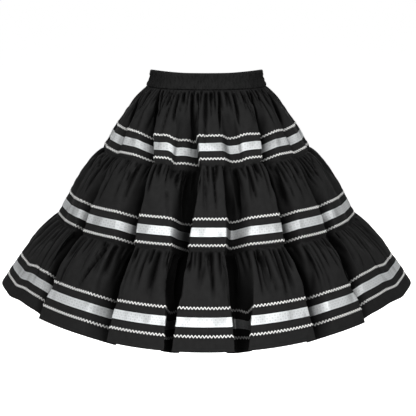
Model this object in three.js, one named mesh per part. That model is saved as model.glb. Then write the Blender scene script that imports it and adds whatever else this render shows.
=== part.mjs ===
// A three-tier gathered square dance skirt, filled out as it is worn.
// Millimetres, +Z up. The front faces -Y, +X is the viewer's right, and the origin is the middle
// of the waist, halfway up the waistband.
import * as THREE from "three";

// Thicknesses of the walls, and the clearances between pieces.
const CLOTH_WALL = 2;
const WAISTBAND_WALL = 3;
const TRIM_WALL = 1;
const SEAM_GAP = 0.3;
const TRIM_GAP = 0.6;

// The bought trims. The braid's middle is set off from the ribbon's edge.
const RIBBON_WIDTH = 19;
const BRAID_WIDTH = 6.5;
const BRAID_TO_RIBBON = 18.5;

// Columns of points stand closer together in the valleys than on the ridges by this share.
const COLUMN_CROWDING = 0.4;

// Rings down the garment, three for the waistband and four more for each tier. level counts
// tiers: 1 is the bottom of tier 1 and 3 the hem. The sizes are those over the ridges. fold is
// how deep the valleys are, drop how much lower the cloth hangs in them, gather how far the small
// gathers stand in and out, lift how much higher the cloth hangs at the sides, and dip how much
// lower it sits in the middle of the back.
const RINGS = [
  { level: 0, halfWidth: 127, halfDepth: 93, height: 19, fold: 0, drop: 0, gather: 0, lift: 0, dip: 17 },
  { level: 0, halfWidth: 129, halfDepth: 96, height: 1, fold: 0, drop: 0, gather: 0.8, lift: 0, dip: 17 },
  { level: 0, halfWidth: 137, halfDepth: 104, height: -17, fold: 0, drop: 0, gather: 0, lift: 0, dip: 17 },
  { level: 0.09, halfWidth: 150, halfDepth: 118, height: -28, fold: 1, drop: 0, gather: 3, lift: 0, dip: 15 },
  { level: 0.3, halfWidth: 177, halfDepth: 148, height: -59, fold: 11, drop: 6, gather: 1.6, lift: 0, dip: 9 },
  { level: 0.58, halfWidth: 206, halfDepth: 186, height: -102, fold: 22, drop: 16, gather: 0, lift: 0, dip: 4 },
  { level: 1, halfWidth: 242, halfDepth: 228, height: -160, fold: 26, drop: 19, gather: 0, lift: 0, dip: 0 },
  { level: 1.08, halfWidth: 257, halfDepth: 243, height: -171, fold: 28, drop: 19, gather: 4, lift: 0, dip: 0 },
  { level: 1.34, halfWidth: 291, halfDepth: 274, height: -213, fold: 32, drop: 19, gather: 1.6, lift: 0, dip: 0 },
  { level: 1.63, halfWidth: 320, halfDepth: 298, height: -260, fold: 34, drop: 19, gather: 0, lift: 0, dip: 0 },
  { level: 2, halfWidth: 353, halfDepth: 328, height: -321, fold: 36, drop: 19, gather: 0, lift: 0, dip: 0 },
  { level: 2.08, halfWidth: 372, halfDepth: 345, height: -334, fold: 36, drop: 19, gather: 4.5, lift: 0, dip: 0 },
  { level: 2.3, halfWidth: 413, halfDepth: 384, height: -374, fold: 35, drop: 19, gather: 1.6, lift: 0, dip: 0 },
  { level: 2.6, halfWidth: 445, halfDepth: 413, height: -424, fold: 34, drop: 18, gather: 0, lift: 5, dip: 0 },
  { level: 3, halfWidth: 490, halfDepth: 448, height: -496, fold: 32, drop: 18, gather: 0, lift: 14, dip: 0 },
];
// The share by which the hem is narrower than an ellipse between its front, side and back. It
// fades to nothing at the waist.
const HEM_PINCH = 0.06;
// How closely the lift keeps to the sides and the dip to the back.
const LIFT_POWER = 4;
const DIP_POWER = 1.5;

// The tiers, with their columns of points on each ridge and how far above their bottom edge the
// middle of the lower braid is sewn.
const TIERS = [
  { name: "tier_1", trim: 1, columns: 6, lowerBraid: 10 },
  { name: "tier_2", trim: 2, columns: 8, lowerBraid: 10 },
  { name: "tier_3", trim: 3, columns: 8, lowerBraid: 31 },
];
const WAIST_SEAM_RING = 2;
const RINGS_PER_TIER = 4;

// The valleys between the ridges. Each field has a value at the waist and one for the bottom of
// each tier. angle is in degrees round from the middle of the front, depth scales the rings' fold
// and drop, slip is how far the valley's floor slides sideways under the next ridge, in degrees,
// ridge is the share of the fold by which the next ridge stands back, and before and after are
// the shares of the ridges on its two sides that fall away into it. The side seams run down the
// ridges at 90 and 270 degrees.
const VALLEYS = [
  {
    angle: [-86, -80, -73, -76], depth: [0.5, 0.5, 0.5, 0.8], slip: [0, 1, 1, 0],
    ridge: [0, 0, 0.2, 0.6], before: [0.34, 0.34, 0.34, 0.28], after: [0.2, 0.2, 0.2, 0.28],
  },
  {
    angle: [-66, -60, -56, -53], depth: [0.5, 0.6, 0.8, 1.4], slip: [0, 1, 1, 3],
    ridge: [0, 0, 0, 0], before: [0.34, 0.5, 0.4, 0.34], after: [0.2, 0.2, 0.18, 0.16],
  },
  {
    angle: [-47, -31, -28, -27], depth: [1, 1, 1.2, 1.1], slip: [0, 2, 2, 2],
    ridge: [0, 0, 0, 0], before: [0.34, 0.5, 0.4, 0.36], after: [0.2, 0.17, 0.16, 0.16],
  },
  {
    angle: [-12, -5.5, -8, -9.5], depth: [1, 1, 1.4, 1.8], slip: [0, 1.5, 1.5, 1.5],
    ridge: [0, 0, 0, 0], before: [0.34, 0.6, 0.4, 0.3], after: [0.2, 0.17, 0.16, 0.16],
  },
  {
    angle: [13, 14.5, 10.5, 8.9], depth: [0.6, 0.8, 1.3, 1.9], slip: [0, 0, 0, 0],
    ridge: [0, 0, 0, 0], before: [0.28, 0.46, 0.3, 0.22], after: [0.28, 0.5, 0.3, 0.22],
  },
  {
    angle: [46, 32, 31, 30.5], depth: [1, 1, 1.2, 1], slip: [0, -2, -2, -1],
    ridge: [0, 0, 0, 0], before: [0.2, 0.17, 0.16, 0.16], after: [0.34, 0.5, 0.4, 0.34],
  },
  {
    angle: [64, 59, 53, 49], depth: [0.5, 0.6, 0.7, 1.3], slip: [0, -1, -1, -2],
    ridge: [0, 0, 0.2, 0.6], before: [0.2, 0.2, 0.18, 0.16], after: [0.34, 0.4, 0.36, 0.34],
  },
  {
    angle: [85, 80, 73, 76], depth: [0.5, 0.5, 0.5, 0.8], slip: [0, -1, -1, 0],
    ridge: [0, 0, 0, 0], before: [0.2, 0.2, 0.2, 0.28], after: [0.34, 0.34, 0.34, 0.28],
  },
  {
    angle: [103, 100, 109, 106], depth: [0.6, 0.6, 0.7, 0.8], slip: [0, 1, 1, 1],
    ridge: [0, 0, 0.1, 0.2], before: [0.34, 0.34, 0.34, 0.34], after: [0.2, 0.2, 0.2, 0.2],
  },
  {
    angle: [124, 122, 130, 132], depth: [1, 1, 1.2, 1.2], slip: [0, -1.5, -2, -2],
    ridge: [0, 0, 0, 0], before: [0.2, 0.17, 0.16, 0.16], after: [0.34, 0.45, 0.4, 0.34],
  },
  {
    angle: [147, 146, 149, 150], depth: [0.7, 0.7, 0.9, 1.2], slip: [0, 0, 0, 0],
    ridge: [0, 0, 0, 0.1], before: [0.28, 0.4, 0.28, 0.24], after: [0.28, 0.3, 0.28, 0.24],
  },
  {
    angle: [170, 170, 171, 171], depth: [1, 1, 1.3, 1.4], slip: [0, -1.5, -2, -2],
    ridge: [0, 0, 0, 0], before: [0.2, 0.17, 0.16, 0.16], after: [0.34, 0.5, 0.4, 0.34],
  },
  {
    angle: [191, 191, 189, 188], depth: [0.8, 0.8, 1, 1.3], slip: [0, 0, 1, 1.5],
    ridge: [0, 0, 0.1, 0], before: [0.28, 0.34, 0.34, 0.34], after: [0.28, 0.28, 0.2, 0.18],
  },
  {
    angle: [213, 213, 210, 209], depth: [1, 1, 1.2, 0.9], slip: [0, 1.5, 2, 2],
    ridge: [0, 0, 0, 0.1], before: [0.34, 0.45, 0.4, 0.34], after: [0.2, 0.17, 0.16, 0.16],
  },
  {
    angle: [236, 237, 230, 229], depth: [0.6, 0.6, 0.8, 1.2], slip: [0, 0, 0, 1],
    ridge: [0, 0, 0, 0.2], before: [0.28, 0.3, 0.28, 0.34], after: [0.28, 0.28, 0.28, 0.2],
  },
  {
    angle: [257, 260, 251, 254], depth: [0.6, 0.6, 0.7, 0.7], slip: [0, -1, -1, -1],
    ridge: [0, 0, 0, 0], before: [0.2, 0.2, 0.2, 0.2], after: [0.34, 0.34, 0.34, 0.34],
  },
];
// Valleys deeper than this share of the fold hang no lower for it.
const LOWEST_DROP = 1.4;
const RIDGES = VALLEYS.length;
const LEFT_SEAM = -0.5;
const RIGHT_SEAM = 7.5;

const BLACK_CLOTH = { color: 0x1c1c1e, roughness: 0.85, metalness: 0 };
const SILVER_BROCADE = { color: 0xdadbe0, roughness: 0.4, metalness: 0.5 };
const WHITE_BRAID = { color: 0xf4f4f2, roughness: 0.8, metalness: 0 };

// A place round the garment counts ridges: 3 is the floor of valley 3, and 3.5 the middle of the
// ridge that lies between valleys 3 and 4. The valleys' floors are given at a level.
function valleyAt(index, level) {
  const turns = Math.floor(index / RIDGES);
  const valley = VALLEYS[index - turns * RIDGES];
  const above = Math.min(Math.floor(level), TIERS.length - 1);
  const settled = (values) => THREE.MathUtils.lerp(values[above], values[above + 1], level - above);
  const depth = settled(valley.depth);
  return {
    angle: settled(valley.angle) + 360 * turns,
    depth,
    lowered: Math.min(depth, LOWEST_DROP),
    slip: settled(valley.slip),
    ridge: settled(valley.ridge),
    before: settled(valley.before),
    after: settled(valley.after),
  };
}

// A point of the cloth's middle surface on a ring.
function clothPoint(ring, place) {
  const across = place - Math.floor(place);
  const left = valleyAt(Math.floor(place), ring.level);
  const right = valleyAt(Math.floor(place) + 1, ring.level);
  const leftSunk = 1 - THREE.MathUtils.smoothstep(across, 0, left.after);
  const rightSunk = 1 - THREE.MathUtils.smoothstep(1 - across, 0, right.before);
  const sunk = left.ridge + (left.depth - left.ridge) * leftSunk + (right.depth - left.ridge) * rightSunk;
  const lowered = left.lowered * leftSunk + right.lowered * rightSunk;
  const slip = left.slip * leftSunk + right.slip * rightSunk;
  const angle = THREE.MathUtils.degToRad(THREE.MathUtils.lerp(left.angle, right.angle, across) + slip);
  const sideways = Math.sin(angle);
  const backwards = -Math.cos(angle);
  const lift = ring.lift * sideways ** LIFT_POWER;
  const dip = ring.dip * Math.max(backwards, 0) ** DIP_POWER;
  const pinch = HEM_PINCH * (ring.level / TIERS.length) ** 2;
  const full = 1 - pinch * Math.sin(2 * angle) ** 2;
  const outward = new THREE.Vector3(sideways / ring.halfWidth, backwards / ring.halfDepth, 0);
  const point = new THREE.Vector3(
    full * ring.halfWidth * sideways,
    full * ring.halfDepth * backwards,
    ring.height - ring.drop * lowered + lift - dip,
  );
  return point.addScaledVector(outward.normalize(), -ring.fold * sunk);
}

// The outward direction there, from the points beside it and on the rings above and below.
function clothNormal(row, place) {
  const step = 0.02;
  const above = clothPoint(RINGS[Math.max(row - 1, 0)], place);
  const below = clothPoint(RINGS[Math.min(row + 1, RINGS.length - 1)], place);
  const before = clothPoint(RINGS[row], place - step);
  const after = clothPoint(RINGS[row], place + step);
  return below.sub(above).cross(after.sub(before)).normalize();
}

// One ring of a wall, from one place to another: an outer and an inner point at each column.
// Every second column stands out and the others stand in, which are the gathers.
function wallRow(row, from, to, columns, wall) {
  const ring = RINGS[row];
  const points = [];
  for (let column = from * columns; column <= to * columns; column += 1) {
    const even = column / columns;
    const place = even - (COLUMN_CROWDING * Math.sin(2 * Math.PI * even)) / (2 * Math.PI);
    const normal = clothNormal(row, place);
    const side = column % 2 === 0 ? -1 : 1;
    const middle = clothPoint(ring, place).addScaledVector(normal, side * ring.gather);
    points.push({
      place,
      normal,
      outer: middle.clone().addScaledVector(normal, wall / 2),
      inner: middle.clone().addScaledVector(normal, -wall / 2),
    });
  }
  return points;
}

// A closed solid from rows of outer and inner points, top row first. Rows may differ in their
// number of points. A looped wall joins its last column to its first.
function wallGeometry(rows, looped) {
  const positions = [];
  const triangles = [];
  const numbered = rows.map((row) => row.map((column) => {
    const outer = positions.push(...column.outer) / 3 - 1;
    const inner = positions.push(...column.inner) / 3 - 1;
    return { place: column.place, seat: column.outer, normal: column.normal, outer, inner };
  }));
  if (looped) {
    numbered.forEach((row) => row.push({ ...row[0], place: row[0].place + RIDGES }));
  }
  for (let row = 0; row + 1 < numbered.length; row += 1) {
    joinRows(numbered[row], numbered[row + 1], triangles);
  }
  closeEdge(numbered[0], triangles, false);
  closeEdge(numbered[numbered.length - 1], triangles, true);
  if (!looped) {
    closeEdge(numbered.map((row) => row[0]), triangles, true);
    closeEdge(numbered.map((row) => row[row.length - 1]), triangles, false);
  }
  const geometry = new THREE.BufferGeometry();
  geometry.setAttribute("position", new THREE.Float32BufferAttribute(positions, 3));
  geometry.setIndex(triangles);
  geometry.computeVertexNormals();
  return geometry;
}

// The outer and inner faces between two rows, walking along both at once.
function joinRows(upper, lower, triangles) {
  let high = 0;
  let low = 0;
  while (high + 1 < upper.length || low + 1 < lower.length) {
    const stepsUpper = upperIsNext(upper.slice(high, high + 2), lower.slice(low, low + 2));
    const third = stepsUpper ? upper[high + 1] : lower[low + 1];
    triangles.push(upper[high].outer, lower[low].outer, third.outer);
    triangles.push(upper[high].inner, third.inner, lower[low].inner);
    if (stepsUpper) {
      high += 1;
    } else {
      low += 1;
    }
  }
}

// Whether the walk steps along the upper row next. Where both rows have a column at the same
// place, the quad is split along whichever diagonal lies further in, so that what lies on the
// wall clears it.
function upperIsNext([upperHere, upperNext], [lowerHere, lowerNext]) {
  if (!upperNext || !lowerNext) {
    return Boolean(upperNext);
  }
  if (upperNext.place !== lowerNext.place) {
    return upperNext.place < lowerNext.place;
  }
  const rising = upperNext.seat.clone().add(lowerHere.seat);
  const falling = upperHere.seat.clone().add(lowerNext.seat);
  return rising.sub(falling).dot(upperHere.normal) < 0;
}

// The narrow face along an edge, between the outer and inner points.
function closeEdge(line, triangles, turned) {
  for (let index = 0; index + 1 < line.length; index += 1) {
    const here = line[index];
    const next = line[index + 1];
    const corners = [here.outer, next.outer, next.inner, here.inner];
    if (turned) {
      corners.reverse();
    }
    triangles.push(corners[0], corners[1], corners[2]);
    triangles.push(corners[0], corners[2], corners[3]);
  }
}

// Draws an edge row back along the cloth by half a seam's gap.
function drawBack(edge, neighbour) {
  edge.forEach((column, index) => {
    for (const side of ["outer", "inner"]) {
      const away = neighbour(column, index)[side].clone().sub(column[side]).normalize();
      column[side].addScaledVector(away, SEAM_GAP / 2);
    }
  });
}

function nearestColumn(row) {
  return (column) => row.reduce((best, other) => (
    Math.abs(other.place - column.place) < Math.abs(best.place - column.place) ? other : best
  ));
}

function named(name, geometry, finish) {
  const mesh = new THREE.Mesh(geometry, new THREE.MeshStandardMaterial(finish));
  mesh.name = name;
  return mesh;
}

function waistband() {
  const rows = [];
  for (let row = 0; row <= WAIST_SEAM_RING; row += 1) {
    rows.push(wallRow(row, 0, RIDGES, TIERS[0].columns, WAISTBAND_WALL).slice(0, -1));
  }
  drawBack(rows[WAIST_SEAM_RING], nearestColumn(rows[WAIST_SEAM_RING - 1]));
  return named("waistband", wallGeometry(rows, true), BLACK_CLOTH);
}

// The rows of one tier's wall between two places. Its top row shares the columns of the tier
// above, so that the two edges run alike along their seam.
function tierRows(index, from, to) {
  const first = WAIST_SEAM_RING + index * RINGS_PER_TIER;
  const rows = [];
  for (let row = first; row <= first + RINGS_PER_TIER; row += 1) {
    const columns = row === first ? TIERS[Math.max(index - 1, 0)].columns : TIERS[index].columns;
    rows.push(wallRow(row, from, to, columns, CLOTH_WALL));
  }
  return rows;
}

function tierPanel(index, side, from, to) {
  const rows = tierRows(index, from, to);
  const last = rows.length - 1;
  drawBack(rows[0], nearestColumn(rows[1]));
  if (index + 1 < TIERS.length) {
    drawBack(rows[last], nearestColumn(rows[last - 1]));
  }
  rows.forEach((row) => {
    drawBack([row[0]], () => row[1]);
    drawBack([row[row.length - 1]], () => row[row.length - 2]);
  });
  return named(`${TIERS[index].name}_${side}`, wallGeometry(rows, false), BLACK_CLOTH);
}

// A band of trim on the tier's lowest stretch of cloth, between two distances above its edge.
function trimBand(index, name, top, bottom, finish) {
  const rows = tierRows(index, 0, RIDGES);
  const upper = rows[rows.length - 2];
  const lower = rows[rows.length - 1];
  const edges = [top, bottom].map((distance) => lower.slice(0, -1).map((column, number) => {
    const share = distance / column.outer.distanceTo(upper[number].outer);
    const seat = column.outer.clone().lerp(upper[number].outer, share);
    const normal = column.normal.clone().lerp(upper[number].normal, share).normalize();
    return {
      place: column.place,
      normal,
      outer: seat.clone().addScaledVector(normal, TRIM_GAP + TRIM_WALL),
      inner: seat.clone().addScaledVector(normal, TRIM_GAP),
    };
  }));
  return named(name, wallGeometry(edges, true), finish);
}

function trims(index) {
  const { trim, lowerBraid } = TIERS[index];
  const ribbonBottom = lowerBraid + BRAID_TO_RIBBON;
  const ribbonTop = ribbonBottom + RIBBON_WIDTH;
  const upperBraid = ribbonTop + BRAID_TO_RIBBON;
  const half = BRAID_WIDTH / 2;
  return [
    trimBand(index, `rick_rack_${trim}_upper`, upperBraid + half, upperBraid - half, WHITE_BRAID),
    trimBand(index, `ribbon_${trim}`, ribbonTop, ribbonBottom, SILVER_BROCADE),
    trimBand(index, `rick_rack_${trim}_lower`, lowerBraid + half, lowerBraid - half, WHITE_BRAID),
  ];
}

const skirt = new THREE.Group();
skirt.name = "square_dance_skirt";
skirt.add(waistband());
TIERS.forEach((_, index) => {
  skirt.add(tierPanel(index, "front", LEFT_SEAM, RIGHT_SEAM));
  skirt.add(tierPanel(index, "back", RIGHT_SEAM, LEFT_SEAM + RIDGES));
  skirt.add(...trims(index));
});

export default skirt;
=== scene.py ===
"""Dresses the frame of a black three-tier square dance skirt: gathered poly-cotton tiers, an
elasticated waistband, silver brocade ribbons and white rick rack braid."""

import math
from collections import namedtuple

import bpy
import numpy as np
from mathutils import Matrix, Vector


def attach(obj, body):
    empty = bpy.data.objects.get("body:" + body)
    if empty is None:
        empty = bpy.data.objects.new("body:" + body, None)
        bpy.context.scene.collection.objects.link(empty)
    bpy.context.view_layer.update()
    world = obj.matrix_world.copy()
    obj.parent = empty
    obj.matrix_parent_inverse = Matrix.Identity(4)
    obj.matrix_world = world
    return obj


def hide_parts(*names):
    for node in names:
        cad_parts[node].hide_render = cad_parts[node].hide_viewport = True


bl_info = {
    "name": "Square Dance Skirt",
    "version": (1, 0, 0),
    "blender": (4, 5, 0),
    "location": "3D View > Sidebar > Skirt",
    "description": "Sews a three-tier gathered skirt with ribbons and rick rack",
    "category": "Add Mesh",
}

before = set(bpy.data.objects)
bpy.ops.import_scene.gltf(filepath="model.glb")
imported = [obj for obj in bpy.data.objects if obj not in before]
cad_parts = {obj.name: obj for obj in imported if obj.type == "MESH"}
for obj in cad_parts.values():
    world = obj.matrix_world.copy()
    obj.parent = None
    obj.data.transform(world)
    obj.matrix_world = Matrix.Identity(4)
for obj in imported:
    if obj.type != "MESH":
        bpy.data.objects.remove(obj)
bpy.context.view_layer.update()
MM = 0.001
FULL_TURN = 360

# The rings that the frame's walls run through, in millimetres, top first. level counts tiers: 1
# is the bottom of tier 1 and 3 the hem. The sizes are those over the ridges. fold is how deep the
# valleys are, drop how much lower the cloth hangs in them, lift how much higher it hangs at the
# sides, and dip how much lower it sits in the middle of the back.
Ring = namedtuple("Ring", "level half_width half_depth height fold drop lift dip")
RINGS = [
    Ring(0, 127, 93, 19, 0, 0, 0, 17),
    Ring(0, 129, 96, 1, 0, 0, 0, 17),
    Ring(0, 137, 104, -17, 0, 0, 0, 17),
    Ring(0.09, 150, 118, -28, 1, 0, 0, 15),
    Ring(0.3, 177, 148, -59, 11, 6, 0, 9),
    Ring(0.58, 206, 186, -102, 22, 16, 0, 4),
    Ring(1, 242, 228, -160, 26, 19, 0, 0),
    Ring(1.08, 257, 243, -171, 28, 19, 0, 0),
    Ring(1.34, 291, 274, -213, 32, 19, 0, 0),
    Ring(1.63, 320, 298, -260, 34, 19, 0, 0),
    Ring(2, 353, 328, -321, 36, 19, 0, 0),
    Ring(2.08, 372, 345, -334, 36, 19, 0, 0),
    Ring(2.3, 413, 384, -374, 35, 19, 0, 0),
    Ring(2.6, 445, 413, -424, 34, 18, 5, 0),
    Ring(3, 490, 448, -496, 32, 18, 14, 0),
]
WAIST_SEAM_RING = 2
RINGS_PER_TIER = 4
# How much the hem is drawn in at its four corners, as a share, and how closely the lift keeps to
# the sides and the dip to the middle of the back.
HEM_PINCH = 0.06
LIFT_POWER = 4
DIP_POWER = 1.5
# Valleys deeper than this share of the fold hang no lower for it.
LOWEST_DROP = 1.4

# The valleys between the ridges, with values at the waist and at the bottom of each tier. angle
# is in degrees round from the middle of the front, depth scales the rings' fold and drop, slip is
# how far the valley's floor slides sideways under the next ridge, in degrees, ridge is the share
# of the fold by which the next ridge stands back, and before and after are the shares of the
# ridges on its two sides that fall away into it. under is how far its walls run in under those
# ridges, in degrees, which leaves a narrow mouth.
LEVELS = (0, 1, 2, 3)
Valley = namedtuple(
    "Valley", "angle depth slip ridge before after under", defaults=((0, 0, 0, 0),))
VALLEYS = [
    Valley((-86, -80, -76, -76), (0.4, 0.3, 0.3, 0.35), (0, 0, 0, 0),
           (0, 0, 0.2, 0.6), (0.34, 0.34, 0.34, 0.34), (0.2, 0.3, 0.4, 0.45)),
    Valley((-66, -60, -56, -54), (0.5, 0.3, 1.3, 1.15), (0, 0, 1.5, 2.4),
           (0, 0, 0, 0), (0.34, 0.5, 0.2, 0.2), (0.2, 0.3, 0.16, 0.1), (0, 0, 0.6, 0)),
    Valley((-47, -31, -28, -27), (1, 0.8, 1.15, 1.05), (0, 2, 2, 2),
           (0, 0, 0, 0), (0.34, 0.4, 0.24, 0.28), (0.2, 0.15, 0.13, 0.1)),
    Valley((-12, -5.5, -8, -8.9), (1, 1, 1.4, 1.7), (0, 1.5, 1, 0),
           (0, 0, 0, 0), (0.34, 0.6, 0.2, 0.055), (0.2, 0.15, 0.12, 0.05), (0, 0, 0.4, 1.8)),
    Valley((13, 14, 9, 8.1), (0.6, 0.45, 0.8, 1.7), (0, 0, -0.5, 0),
           (0, 0, 0, 0), (0.28, 0.28, 0.16, 0.09), (0.28, 0.34, 0.3, 0.08), (0, 0, 0.2, 2.3)),
    Valley((46, 32, 31, 30.5), (1, 0.8, 1.15, 1.05), (0, -2, -2, -2),
           (0, 0, 0, 0), (0.2, 0.15, 0.13, 0.1), (0.34, 0.4, 0.24, 0.28)),
    Valley((64, 59, 53, 49), (0.5, 0.3, 1.2, 1.15), (0, 0, -1.5, -2.4),
           (0, 0, 0.2, 0.6), (0.2, 0.3, 0.16, 0.1), (0.34, 0.5, 0.2, 0.2), (0, 0, 0.6, 0)),
    Valley((85, 80, 76, 76), (0.4, 0.3, 0.3, 0.35), (0, 0, 0, 0),
           (0, 0, 0, 0), (0.2, 0.3, 0.4, 0.45), (0.34, 0.34, 0.34, 0.34)),
    Valley((103, 100, 109, 106), (0.6, 0.6, 0.7, 0.8), (0, 1, 1, 1),
           (0, 0, 0.1, 0.2), (0.34, 0.34, 0.34, 0.34), (0.2, 0.2, 0.2, 0.2)),
    Valley((124, 122, 130, 132), (1, 1, 1.2, 1.2), (0, -1.5, -2, -2),
           (0, 0, 0, 0), (0.2, 0.17, 0.16, 0.16), (0.34, 0.45, 0.4, 0.34)),
    Valley((147, 146, 149, 150), (0.7, 0.7, 0.9, 1.2), (0, 0, 0, 0),
           (0, 0, 0, 0.1), (0.28, 0.4, 0.28, 0.24), (0.28, 0.3, 0.28, 0.24)),
    Valley((170, 170, 171, 171), (1, 1, 1.3, 1.4), (0, -1.5, -2, -2),
           (0, 0, 0, 0), (0.2, 0.17, 0.16, 0.16), (0.34, 0.5, 0.4, 0.34)),
    Valley((191, 191, 189, 188), (0.8, 0.8, 1, 1.3), (0, 0, 1, 1.5),
           (0, 0, 0.1, 0), (0.28, 0.34, 0.34, 0.34), (0.28, 0.28, 0.2, 0.18)),
    Valley((213, 213, 210, 209), (1, 1, 1.2, 0.9), (0, 1.5, 2, 2),
           (0, 0, 0, 0.1), (0.34, 0.45, 0.4, 0.34), (0.2, 0.17, 0.16, 0.16)),
    Valley((236, 237, 230, 229), (0.6, 0.6, 0.8, 1.2), (0, 0, 0, 1),
           (0, 0, 0, 0.2), (0.28, 0.3, 0.28, 0.34), (0.28, 0.28, 0.28, 0.2)),
    Valley((257, 260, 251, 254), (0.6, 0.6, 0.7, 0.7), (0, -1, -1, -1),
           (0, 0, 0, 0), (0.2, 0.2, 0.2, 0.2), (0.34, 0.34, 0.34, 0.34)),
]
RIDGES = len(VALLEYS)
# The halves of each tier, between the side seams, as places round it: 3 is the floor of valley 3,
# and 3.5 the middle of the ridge after it.
LEFT_SEAM = -0.5
RIGHT_SEAM = 7.5
HALVES = {"front": (LEFT_SEAM, RIGHT_SEAM), "back": (RIGHT_SEAM, LEFT_SEAM + RIDGES)}

# The tiers. strip is the length of the whole cut strip and tall its height between the seams, in
# millimetres, and lower_braid how far above the bottom edge the lower braid's middle is sewn.
# There are this many small gathers under the top seam. Each is about deep millimetres deep and
# wide millimetres to either side, and runs over a share of the tier between short and long.
# slender is how wide the larger creases are, as a share of the widths in their table.
# columns and rows are those of the mesh of a half.
Tier = namedtuple(
    "Tier", "number strip tall lower_braid gathers deep wide short long slender columns rows")
TIERS = [
    Tier(1, 1750, 170, 12, 92, 5.6, 1.8, 0.3, 0.9, 0.56, 420, 50),
    Tier(2, 2500, 197, 10, 140, 6.8, 2.1, 0.2, 0.85, 0.72, 520, 52),
    Tier(3, 3200, 224, 31, 184, 7.4, 2.3, 0.18, 0.8, 0.72, 580, 50),
]
GATHER_SEED = 7
# How far the small gathers stray from even spacing, and lean, as shares of it, how much more
# often they are short, and how much their widths and depths vary.
GATHER_SHIFT = 0.3
GATHER_TILT = 0.4
SHORTER_OFTEN = 1.3
GATHER_WIDE = (0.8, 1.3)
GATHER_DEEP = (0.5, 1.3)
# How much closer the columns lie at the valleys than on average, as a share, and how much the
# rows crowd towards the top.
CLOSER = 0.5
ROWS_CROWD = 1.35
# Painted shade in the folds: how far a fold's walls reach to darken the colour at the waist, how
# much further with each metre up, how strongly they do, and how many rays feel for them.
FOLD_REACH = 22 * MM
FOLD_WIDENING = -0.15
FOLD_PAINTED_SHADE = 3.0
FOLD_SAMPLES = 8
# The cloth's threads, as wide apart as in a real poly-cotton of 100 by 60 threads to the inch.
WARP_PITCH = 0.25 * MM
WEFT_PITCH = 0.42 * MM
# Slubs run about 17 mm along a thread and 0.4 mm across it, and the dye's clouds are as long.
SLUB_SCALE = (60, 2400, 1)
DYE_CLOUDS = 60
DYE_THIN = 0.75
DYE_RICH = 1.25
# How high the weave stands on the bump's scale, where the slubs stand up by 1.
WEAVE_RISE = 0.35
# The hem is held by one row of stitches. Its line is sunk by HEM_SUNK on the bump's scale, and
# each stitch stands up in it by STITCH_RISE.
HEM_DEPTH = 12 * MM
HEM_LINE = 0.8 * MM
HEM_SUNK = -2.2
STITCH_LENGTH = 2.8 * MM
STITCH_RISE = 0.8
# The brocade's repeat, twice in the ribbon's width, its fine ribs and its plain woven edges.
MOTIF_PITCH = 9.5 * MM
RIB_PITCH = 0.6 * MM
SELVEDGE = 1.2 * MM
# The lattice runs from 0 to 2. The florets are where it is high and the trellis where it is low.
FLORET_EDGE = 1.1
TRELLIS_LINE = 0.18
# The figure is duller than the ground, and the ribs stand up by RIB_BUMP of its height.
FIGURE_TONE = 0.76
RIB_BUMP = 0.12
# Painted sheen and shade in patches about 36 mm long, as wide as the ribbon and more. The colour
# is painted darkest where the noise is low, and left bright where it is high.
PAINTED_SHEEN_SCALE = (28, 14, 1)
PAINTED_SHADE_BELOW = 0.34
PAINTED_SHEEN_ABOVE = 0.5
PAINTED_SHADE_TONE = 0.66
# The braid's strands, with painted shade in the grooves between them.
STRAND_PITCH = 0.9 * MM
GROOVE_PAINTED_SHADE = 0.86
BRAID_MIDDLE = 1.3 * MM
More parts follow.
